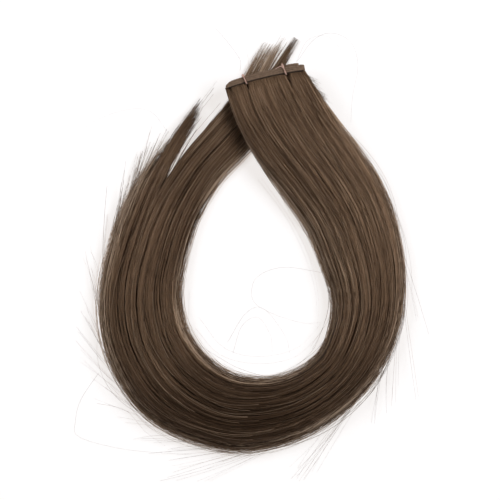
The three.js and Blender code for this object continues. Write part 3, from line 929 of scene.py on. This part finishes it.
def make_loose_hairs(rng, material):
    wisps = np.concatenate([wisp_paths(rng, wisp) for wisp in WISPS])
    others = [fuzz_paths(rng), edge_paths(rng), top_paths(rng), curl_paths(rng)]
    paths = np.concatenate([wisps, *others])
    count = len(paths)
    wisp_shares = [THICK_WISP if wisp.run > THICK_WISPS_FROM else THIN_WISP for wisp in WISPS]
    hairs = [wisp.hairs for wisp in WISPS] + [len(group) for group in others]
    shares = np.repeat([*wisp_shares, *LOOSE_SHARES], hairs)
    taper = np.linspace(1.15, 0.6, LOOSE_POINTS)
    radii = LOOSE_RADIUS * shares[:, None] * rng.uniform(0.7, 1.2, (count, 1)) * taper
    tone = np.clip(rng.normal(0.8, 0.12, (count, 1)), 0, 1) / PALEST
    rings = tube_rings(paths, radii, HAIR_SIDES, rng.random(count) * 2 * np.pi)
    add_piece(skin("loose_hairs", rings, tone=np.repeat(tone, LOOSE_POINTS, axis=1)), material)


# Track

STITCH_BESIDE = TRACK_ALONG + 0.3 * UP  # a direction that no stitch runs along


def fold_ends(fold, left_margin, right_margin):
    half = TRACK_WIDTH / 2
    return -half + fold.left + left_margin, half - fold.right - right_margin


def band_line():
    """The folded band's middle line: places along the track, heights, and how far each layer strays."""
    line = []
    bend = FOLD_PITCH / 2
    for number, fold in enumerate(FOLDS):
        height = layer_height(number)
        left, right = fold_ends(fold, bend, bend)
        leftwards = number % 2 == 0
        start, end = (right, left) if leftwards else (left, right)
        for step in range(LAYER_STEPS + 1):
            line.append((lerp(start, end, step / LAYER_STEPS), height, fold.stray))
        if number + 1 == len(FOLDS):
            break
        after = FOLDS[number + 1]
        turned = fold_ends(after, bend, bend)[0 if leftwards else 1]
        for step in range(1, BEND_STEPS):
            share = step / BEND_STEPS
            outward = (-bend if leftwards else bend) * math.sin(math.pi * share)
            rise = bend * (1 - math.cos(math.pi * share))
            along = lerp(end, turned, share) + outward
            line.append((along, height + rise, lerp(fold.stray, after.stray, share)))
    return np.array(line)


def band_edges(along, stray):
    """How far off the root the band's edges lie."""
    near = bow_at(along) + stray * ease(along, STRAY_FROM, STRAY_TO)
    from_end = np.clip((along + TRACK_WIDTH / 2) / LEFT_ROUND, 0, 1)
    round_end = np.sqrt(1 - (1 - from_end) ** 2)
    return near, near + BAND_HEIGHT * lerp(LEFT_SHARE, 1, round_end)


def make_track(material):
    along, height, stray = band_line().T
    run = unit(np.stack([np.gradient(along), np.gradient(height)], axis=-1))
    near, far = band_edges(along, stray)
    share = np.linspace(0, 1, BAND_POINTS)
    swell = 1 - RIDGE_DEPTH + RIDGE_DEPTH * np.abs(np.sin(np.pi * share * RIDGES)) ** RIDGE_POWER
    swell[[0, -1]] = BAND_EDGE
    across = np.concatenate([share, share[::-1]])
    face = np.concatenate([-swell, swell[::-1]]) * BAND_THICKNESS / 2
    off = near[:, None] + across * (far - near)[:, None]
    rings = at_track(along[:, None] - run[:, 1:] * face, off, height[:, None] + run[:, :1] * face)
    add_piece(skin("track_band", rings[None]), material, ["track"])


def whip_stitches(along, far, height):
    """Stitches over the band's free edge in a layer."""
    angle = np.linspace(-0.5 * np.pi, 0.5 * np.pi, STITCH_POINTS - 2)
    off = np.concatenate([[-WHIP_REACH], np.cos(angle) * WHIP_ROUND - WHIP_INSET, [-WHIP_REACH]])
    rise = np.concatenate([[-1], np.sin(angle), [1]]) * (BAND_THICKNESS / 2 + STITCH_RISE)
    lean = np.linspace(-WHIP_LEAN, WHIP_LEAN, STITCH_POINTS)
    return at_track(along[:, None] + lean, far[:, None] + off, height + rise)


def row_stitches(along, off, height, face):
    """A row of stitches on the band's upper face, 1, or lower face, -1."""
    t = np.linspace(0, 1, STITCH_POINTS)
    place = along[:, None] + (t - 0.5) * STITCH_PITCH * ROW_LENGTH
    wave = ROW_WAVE * np.sin(2 * np.pi * t)
    rise = BAND_THICKNESS / 2 - STITCH_RISE + 2 * STITCH_RISE * np.sin(np.pi * t)
    return at_track(place, off[:, None] + wave, height + face * rise)


def make_stitches(rng, material):
    """Whip stitches in every layer of the band, and rows of stitches on its outer faces."""
    whips, rows = [], []
    for number, fold in enumerate(FOLDS):
        along = np.arange(*fold_ends(fold, *STITCH_MARGINS), STITCH_PITCH)
        along = along + rng.normal(0, STITCH_STRAY, len(along))
        near, far = band_edges(along, fold.stray)
        height = layer_height(number)
        whips.append(whip_stitches(along, far, height))
        if number in (0, len(FOLDS) - 1):
            face = 1 if number else -1
            for share in ROW_PLACES:
                rows.append(row_stitches(along, near + share * (far - near), height, face))
    paths = np.concatenate(whips + rows)
    radii = np.full(paths.shape[:2], STITCH_RADIUS)
    rings = tube_rings(paths, radii, STITCH_SIDES, beside=STITCH_BESIDE)
    add_piece(skin("track_stitches", rings), material)


def make_seams(material):
    """Seams along the edge where the hair comes out of each layer, coloured near-black as a painted
    shadow line.
    """
    t = np.linspace(0, 1, 90)
    seams = []
    for number, fold in enumerate(FOLDS):
        along = lerp(*fold_ends(fold, SEAM_MARGIN, SEAM_MARGIN), t)
        near, _ = band_edges(along, fold.stray)
        wave = SEAM_WAVE * np.sin(2 * np.pi * along / STITCH_PITCH)
        seams.append(at_track(along, near - SEAM_RADIUS / 2 + wave, layer_height(number) + SEAM_RISE))
    paths = np.array(seams)
    rings = tube_rings(paths, np.full(paths.shape[:2], SEAM_RADIUS))
    add_piece(skin("track_seams", rings), material)


# Ties

TIE_BESIDE = TRACK_ALONG + 0.05 * UP  # a direction that no tie runs along


def tie_path(tie):
    """The closed middle line of a tie's loop."""
    reach = TIE_DIAMETER / 2 + TIE_GAP
    spare = (FOLD_PITCH - BAND_THICKNESS) / 2
    low = ROOT_LIFT + spare - reach
    high = ROOT_LIFT + FOLD_PITCH * len(FOLDS) - spare + reach
    stray = max(fold.stray for fold in FOLDS) * ease(tie.along, STRAY_FROM, STRAY_TO)
    near = bow_at(tie.along) - reach - TIE_SLACK
    far = bow_at(tie.along) + BAND_HEIGHT + stray + reach + TIE_SLACK
    angle = np.linspace(0, 2 * np.pi, TIE_SAMPLES, endpoint=False)
    off = np.sign(np.cos(angle)) * np.abs(np.cos(angle)) ** TIE_POWER
    rise = np.sign(np.sin(angle)) * np.abs(np.sin(angle)) ** TIE_POWER
    crossed = (off + 1) / 2
    along = tie.along + tie.lean * (0.5 - crossed)
    return at_track(along, lerp(near, far, crossed), lerp(low, high, (rise + 1) / 2))


def twist(path, turns):
    """Two plies wound round a closed path."""
    along = unit(np.roll(path, -1, axis=0) - np.roll(path, 1, axis=0))
    level = unit(np.cross(along, TIE_BESIDE))
    upright = np.cross(level, along)
    angle = np.linspace(0, 2 * np.pi * turns, len(path), endpoint=False)[:, None]
    lean = PLY_RADIUS * (np.cos(angle) * level + np.sin(angle) * upright)
    return np.stack([path + lean, path - lean])


def make_tie(tie, material):
    """A loop of two-ply thread, with a knot and loose ends at the track's free edge."""
    loop = twist(tie_path(tie), TIE_TURNS)
    rings = tube_rings(loop, np.full(loop.shape[:2], PLY_RADIUS), beside=TRACK_ALONG)
    add_piece(skin(f"{tie.name}_thread", rings, closed=True), material, [tie.name])

    off = bow_at(tie.along) + BAND_HEIGHT + KNOT_OFF
    knot = np.array([tie.along - KNOT_LEAN * tie.lean, off, KNOT_HEIGHT])
    angle = 2 * np.pi * COIL_TURNS * np.linspace(0, 1, KNOT_POINTS)
    rise = np.linspace(-COIL_RISE, COIL_RISE, KNOT_POINTS)
    coil = knot + np.column_stack([COIL_RADIUS * np.cos(angle), COIL_RADIUS * np.sin(angle), rise])
    ends = [catmull_rom([knot + np.array(step) for step in end], KNOT_POINTS) for end in tie.ends]
    paths = np.stack([at_track(*line.T) for line in [coil, *ends]])
    end_radii = np.linspace(*END_RADII, KNOT_POINTS)
    radii = np.stack([np.full(KNOT_POINTS, COIL_THREAD)] + [end_radii] * len(ends))
    add_piece(skin(f"{tie.name}_knot", tube_rings(paths, radii)), material)


# Floor, light and camera

CAMERA_HEIGHT = 3000
CAMERA_X, CAMERA_Y = -1.42, -2.36
PICTURE_WIDTH = 280  # the stretch of floor that the picture's width takes in
SENSOR = 36
FLOOR_HALF = 6  # metres
FLOOR_DROP = 0.1


def make_floor():
    """A pale floor that glows a little, so that shadows on it stay faint."""
    mesh = bpy.data.meshes.new("floor")
    corners = [(-1, -1), (1, -1), (1, 1), (-1, 1)]
    mesh.from_pydata([(FLOOR_HALF * x, FLOOR_HALF * y, 0) for x, y in corners], [], [(0, 1, 2, 3)])
    floor = add_object("floor", mesh)
    floor.location.z = -FLOOR_DROP * MM
    material, _, shader = new_material("floor", roughness=0.9, specular=0.1)
    shader.inputs["Base Color"].default_value = (0.36, 0.395, 0.435, 1)
    shader.inputs["Emission Color"].default_value = (1, 0.934, 0.886, 1)
    shader.inputs["Emission Strength"].default_value = 0.705
    mesh.materials.append(material)


def add_light(name, place, power):
    """A soft light that looks at the middle of the floor. Its place and size are in metres."""
    data = bpy.data.lights.new(name, "AREA")
    data.shape = "RECTANGLE"
    data.size = 1.2
    data.size_y = 0.7
    data.energy = power
    light = add_object(name, data)
    light.location = place
    aim = -np.array(place)
    tilt = math.acos(-aim[2] / np.linalg.norm(aim))
    heading = math.atan2(aim[1], aim[0]) - math.pi / 2
    light.rotation_euler = (tilt, 0, heading)


def make_light():
    world = bpy.data.worlds.new("studio")
    world.use_nodes = True
    background = world.node_tree.nodes["Background"]
    background.inputs["Color"].default_value = (1, 0.9, 0.8, 1)
    background.inputs["Strength"].default_value = 0.09
    bpy.context.scene.world = world
    add_light("left_softbox", (-1.15, 0.45, 1.05), power=15.5)
    add_light("right_softbox", (1.15, 0.45, 1.05), power=24)
    bpy.context.scene.view_settings.view_transform = "Standard"


def make_camera():
    data = bpy.data.cameras.new("camera")
    data.sensor_width = SENSOR
    data.lens = SENSOR * CAMERA_HEIGHT / PICTURE_WIDTH
    data.clip_end = 50
    camera = add_object("camera", data)
    camera.location = (CAMERA_X * MM, CAMERA_Y * MM, CAMERA_HEIGHT * MM)
    bpy.context.scene.camera = camera


make_camera()
make_light()
make_floor()

rng = np.random.default_rng(SEED)
hair = hair_material()
make_core(shaded_core_material())
make_strands(rng, hair)
make_loose_hairs(rng, hair)
make_track(cloth_material(*TRACK_CLOTH))
make_stitches(rng, cloth_material(*STITCH_CLOTH))
make_seams(cloth_material(*SEAM_SHADOW_CLOTH))
thread = cloth_material(*THREAD_CLOTH)
for tie in TIES:
    make_tie(tie, thread)
